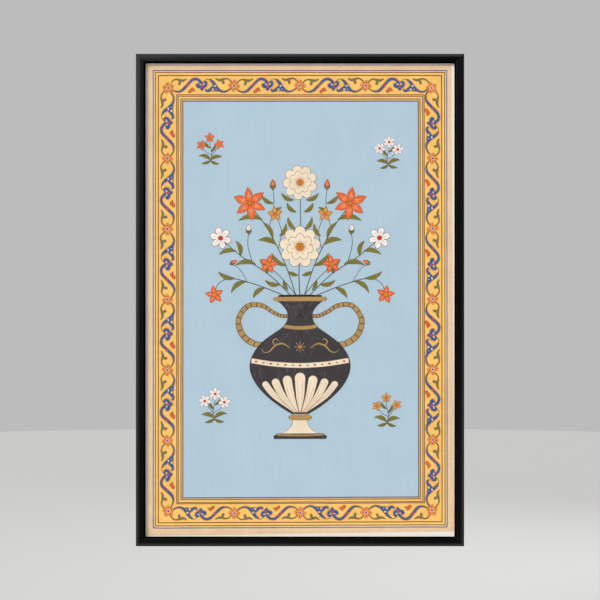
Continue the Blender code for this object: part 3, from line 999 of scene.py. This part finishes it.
def petalMotif(fill, edge, touch, long, wide, turn, pointed=False, lift=4, start=2):
    place = placing(turn=turn)
    if pointed:
        shape = [(start, 0.3), (long * 0.32, 0.72), (long * 0.58, 1), (long * 0.84, 0.5), (long, 0.04)]
    else:
        full = long - wide * 0.42
        shape = [(start, 0.3), (full * 0.5, 0.74), (full * 0.85, 1), (full, 0.9)]
    petal = [(*place((reach, 0)), share * wide) for reach, share in shape]
    motif = brush(fill, petal, edge=edge, width=0.75, steps=3, lift=lift)
    for off in (-0.2, 0, 0.2) if wide > 11 else (0,):
        inner, outer = (0.34, 0.72 - abs(off)) if pointed else (0.3, 0.74 - abs(off))
        line = [(*place((long * inner, off * wide * 0.7)), 0.5),
                (*place((long * (inner + outer) / 2, off * wide)), wide * 0.05 + 0.6),
                (*place((long * outer, off * wide * 1.1)), 0.3)]
        motif += brush(touch, line, steps=2, lift=lift)
    return motif


def whorl(count, inks, long, wide, first=90, **manner):   # petals all round
    return [strip for number in range(count)
            for strip in petalMotif(*inks, long, wide, 360 / count * number + first, **manner)]


def heartMotif(fill, edge, dot, radius, dots, lift=8):
    motif = brush(fill, [(-0.3, 0, 2 * radius), (0.3, 0, 2 * radius)],
                  edge=edge, width=0.7, steps=2, lift=lift)
    for number in range(dots):
        x, y = placing(turn=360 * number / dots)((radius * 0.62, 0))
        motif += brush(dot, [(x - 0.2, y, radius * 0.3), (x + 0.2, y, radius * 0.3)], steps=1, lift=lift)
    motif += brush(dot, [(-0.2, 0, radius * 0.5), (0.2, 0, radius * 0.5)], steps=1, lift=lift)
    return motif


def creamBloom():                        # a large double flower
    return (whorl(9, bloomInks["cream"], 37, 21) + whorl(7, bloomInks["cream"], 24, 15, lift=6)
            + heartMotif("bloomAmber", "lineBrown", "touchRed", 7.5, 8))


def lilyBloom():                         # an orange flower with pointed petals
    motif = whorl(3, bloomInks["orange"], 31, 14, 30, pointed=True)
    motif += whorl(3, bloomInks["orange"], 29, 13, 90, pointed=True, lift=6)
    for number in range(6):
        place = placing(turn=60 * number + 60)
        motif += brush("lineRust", [(*place((2, 0)), .5), (*place((9, .6)), .7)], steps=2, lift=9)
        motif += brush("bloomAmber", [(*place((9.4, .6)), 2), (*place((10.2, .6)), 2)], steps=1, lift=9)
    return motif + heartMotif("bloomAmber", "lineRust", "touchRed", 3, 0)


def smallBloom(inks, heart, petals, long, wide, pointed=False):
    return (whorl(petals, inks, long, wide, pointed=pointed)
            + heartMotif(heart, inks[1], "touchRed", long * 0.2, 0))


def budMotif(inks):                      # a closed flower that points up
    motif = petalMotif(*inks, 15, 7, 90, True, start=0)
    for turn in (58, 122):
        motif += petalMotif("leafOlive", "lineDark", "leafVein", 7.5, 3.2, turn, True, lift=5, start=0)
    return motif


# the vase, from its foot up: height and full width
vase = {
    "foot": [(-257, 94), (-252, 96), (-247, 82)],
    "stem": [(-247, 66), (-240, 44), (-231, 29), (-222, 27)],
    "knop": [(-223, 28), (-217.5, 42), (-212, 28)],
    "body": [(-211, 30), (-198, 72), (-180, 118), (-158, 158), (-132, 182), (-108, 178), (-84, 148),
             (-66, 104), (-52, 64), (-38, 46), (-24, 46), (-10, 66), (-2, 88)],
    "rim": [(-4, 90), (0, 97), (4, 92)],
    "handle": [(40, -76, 7), (76, -84, 9), (104, -68, 9.5), (113, -38, 8.5), (96, -13, 7.5),
               (70, -12, 6.5), (50, -24, 5.5), (34, -31, 5), (20, -31, 5)],
    "bands": [                           # middle height, sag, half width, width, ink
        (-113, 9, 89, 8.5, "bloomCream"),
        (-50, 3, 30, 6, "handleTan"),
        (-249, 1.5, 43, 2.4, "handleTan"),
    ],
    "beads": 13,                         # on the first of them, red and olive in turn
    "hairs": 190,
    "hairReach": (-150, -14),            # between these heights
    "hairSide": 0.93,                    # how near the outline they come
    "seed": 7,
}


def upright(rows):
    return [(0, height, width) for height, width in rows]


def paintVase():
    parts = [                            # part, ink, outline, lift
        ("foot", "potCharcoal", "lineDark", 4),
        ("stem", "bloomCream", "lineBrown", 4),
        ("body", "potCharcoal", "lineDark", 5),
        ("knop", "handleTan", "lineDark", 7),
        ("rim", "handleTan", "lineDark", 8),
    ]
    for part, ink, edge, lift in parts:
        stamp(brush(ink, upright(vase[part]), edge=edge, width=0.8, steps=6, square=True, lift=lift))
    profile = smoothLine(upright(vase["body"]), 4)

    def halfAt(height):
        for low, high in zip(profile, profile[1:]):
            if low[1] <= height <= high[1]:
                share = (height - low[1]) / (high[1] - low[1])
                return (low[2] + (high[2] - low[2]) * share) / 2
        return profile[-1][2] / 2

    # fine hairs of paint that follow the vase's roundness
    draw = random.Random(vase["seed"])
    for number in range(vase["hairs"]):
        height = draw.uniform(*vase["hairReach"])
        share = draw.uniform(-vase["hairSide"], vase["hairSide"])
        if -62 < height < -40 or abs(height + 118) < 11:   # not across the bands
            continue
        rows = [height, height + 5, height + 10]
        hair = [(share * halfAt(row), row, width) for row, width in zip(rows, (0.3, 0.9, 0.3))]
        ink = "potHair" if draw.random() < 0.62 - 0.3 * share else "potShade"
        stamp(brush(ink, hair, steps=2, lift=5))
    # cream lobes round the lower body
    for number, share in enumerate((-0.84, 0.84, -0.58, 0.58, -0.3, 0.3, 0)):
        top = -152 + 14 * (1 - abs(share))
        foot = (share * 13, -207, 2.2)
        middle = (share * halfAt(-180) * 0.93, -180 + 2 * abs(share), 14 - 5 * abs(share))
        head = (share * halfAt(top) * 0.9, top - 7, 19 - 9 * abs(share))
        lift = 6.4 + number // 2
        stamp(brush("bloomCream", [foot, middle, head], edge="lineBrown", width=0.8, lift=lift))
        for off in (-0.24, 0.24):
            line = [(spot[0] + off * spot[2], spot[1], width) for spot, width in
                    zip((foot, middle, head), (0.3, 1, 0.4))]
            stamp(brush("touchTan", line, lift=lift))
    # bands that sag a little, as round things do
    for height, sag, half, width, ink in vase["bands"]:
        row = [(half * t, height - sag * (1 - t * t), width) for t in (-1, -0.6, -0.2, 0.2, 0.6, 1)]
        stamp(brush(ink, row, edge="lineBrown", width=0.9, square=True, lift=10))
    height, sag, half = vase["bands"][0][:3]
    for number in range(vase["beads"]):
        t = (number - vase["beads"] // 2) / 6.6
        x, y = half * t, height - sag * (1 - t * t)
        ink, size = (("touchRed", 3), ("leafVein", 2))[number % 2]
        stamp(brush(ink, [(x - 1, y, size), (x + 1, y, size)], steps=1, lift=10))
    # a small flower and two tendrils on the shoulder
    stamp(smallBloom(bloomInks["cream"], "bloomAmber", 8, 15, 7.5), placing((0, -88)))
    tendril = [(19, -90, 1), (32, -82, 2.6), (46, -86, 2.8), (56, -96, 2.2), (66, -98, 1.2), (71, -92, .8)]
    curl = [(46, -86, 2), (50, -78, 2.2), (45, -73, 1.8), (40, -76, 1)]
    handle = vase["handle"]
    left, right = brushStrip(handle, -0.3, 8)
    rings = list(zip(left, right))[6:-5:3]
    for flip in (-1, 1):
        for line in (tendril, curl):
            stamp(brush("handleTan", line, edge="lineDark", width=0.4, lift=6), placing(flip=flip))
        stamp(brush("handleTan", handle, edge="lineDark", width=0.9, steps=8, lift=1), placing(flip=flip))
        for a, b in rings:
            stamp(brush("handleRing", [(*a, 1.3), (*a.lerp(b, 0.5), 1.9), (*b, 1.3)], steps=1, lift=1),
                  placing(flip=flip))
    stamp(brush("potShade", [(-38, 5, 3.4), (0, 5, 5.4), (38, 5, 3.4)], edge="lineDark", width=0.6, lift=2))


def paintFlowers():
    blooms = {
        "cream": creamBloom(),
        "lily": lilyBloom(),
        "white": smallBloom(bloomInks["white"], "touchRed", 6, 19, 10.5),
        "amber": smallBloom(bloomInks["amber"], "bloomOrange", 5, 17, 9, True),
        "orange": smallBloom(bloomInks["orange"], "bloomAmber", 5, 18, 9.5, True),
        "redBud": budMotif(bloomInks["orange"]),
        "paleBud": budMotif(bloomInks["white"]),
    }
    stamp(brush("stalkGrey", [(0, 4, 2.2), (-2, 40, 2), (0, 95, 2), (1, 150, 1.8), (0, 200, 1.6)]))
    stamp(blooms["cream"], placing((0, 96)))
    stamp(blooms["cream"], placing((0, 214), 12, 0.84))
    stems = [                            # on the right; the left mirrors them
        [(7, 4, 2), (28, 66, 1.9), (58, 126, 1.8), (86, 166, 1.5)],
        [(15, 4, 2), (56, 44, 1.9), (104, 76, 1.8), (138, 104, 1.5)],
        [(24, 4, 2), (74, 24, 1.8), (124, 38, 1.7), (148, 30, 1.4), (155, 16, 1.2)],
        [(5, 4, 1.8), (30, 34, 1.6), (52, 56, 1.4)],
        [(40, 92, 1.6), (34, 124, 1.4), (44, 152, 1.2)],
        [(88, 68, 1.5), (96, 100, 1.3), (94, 122, 1.1)],
        [(58, 126, 1.4), (48, 172, 1.3), (50, 204, 1.1)],
        [(96, 30, 1.3), (112, 56, 1.1), (128, 64, 1)],
    ]
    leaves = [                           # base, tip, width, bend
        ((20, 50), (4, 44), 7, 0.1), ((26, 62), (52, 84), 8.5, -0.16), ((44, 100), (76, 108), 9, 0.16),
        ((50, 112), (66, 140), 7, 0.1), ((70, 146), (112, 144), 9, 0.16), ((37, 27), (64, 34), 7.5, -0.14),
        ((60, 47), (74, 70), 8, 0.14), ((82, 64), (118, 62), 8.5, 0.16), ((110, 80), (118, 106), 8, 0.16),
        ((118, 88), (148, 82), 7.5, 0.14), ((66, 20), (86, 2), 8, 0.14), ((100, 32), (126, 12), 8, 0.16),
        ((120, 38), (150, 50), 7.5, -0.12), ((37, 116), (26, 138), 7, 0.14), ((52, 150), (34, 168), 7, -0.14),
        ((50, 176), (70, 190), 7, -0.14), ((30, 34), (22, 16), 6, 0.1), ((8, 128), (22, 150), 7, -0.15),
        ((8, 160), (24, 176), 7, -0.15), ((12, 182), (34, 194), 7, -0.15),
    ]
    heads = [                            # flower, place, turn, size
        ("lily", (92, 176), 8, 1), ("white", (146, 112), 14, 1), ("orange", (157, 8), 10, 0.9),
        ("orange", (58, 64), -12, 0.94), ("amber", (46, 156), 6, 0.8), ("paleBud", (94, 120), 4, 1.1),
        ("redBud", (50, 202), 0, 1.15), ("redBud", (128, 64), -60, 0.9),
    ]
    for flip in (-1, 1):
        for stem in stems:
            stamp(brush("stalkGrey", stem), placing(flip=flip))
        for leaf in leaves:
            stamp(leafMotif(*leaf), placing(flip=flip))
        for flower, spot, turn, size in heads:
            stamp(blooms[flower], placing((spot[0] * flip, spot[1]), -turn * flip, size, flip))
    sprigs = [                           # flower, place, size, flip
        ("white", (-158, -196), 1, 1), ("amber", (160, -204), 1, -1),
        ("orange", (-164, 276), 0.92, -1), ("white", (162, 268), 0.92, 1),
    ]
    for flower, spot, size, flip in sprigs:
        place = placing(spot, 0, size, flip)
        for stem in ([(0, -24, 1.5), (-2, -8, 1.3), (1, 6, 1.2), (2, 16, 1)],
                     [(-1, -14, 1.3), (-9, -4, 1.1), (-14, 4, 1)],
                     [(0, -12, 1.3), (10, -6, 1.1), (16, 2, 1)]):
            stamp(brush("stalkGrey", stem), place)
        for leaf in (((0, -22), (-22, -16), 7, -0.16), ((1, -22), (23, -14), 7, 0.16),
                     ((0, -24), (-16, -30), 5, 0.1), ((1, -24), (18, -29), 5, -0.1),
                     ((-1, -6), (-10, 10), 4.5, 0.1), ((2, 2), (12, 14), 4.5, -0.1)):
            stamp(leafMotif(*leaf), place)
        for spread, turn in (((2, 22), 0), ((-17, 9), 20), ((19, 7), -20)):
            x, y = place(spread)
            stamp(blooms[flower], placing((x, y), turn, size * 0.56))


paintGrounds()
paintBorder()
print("border painted")

paintVase()
paintFlowers()
print("flowers painted")

for ink in coats:
    paintPiece(ink)
print("paint ready:", len(coats), "colours")
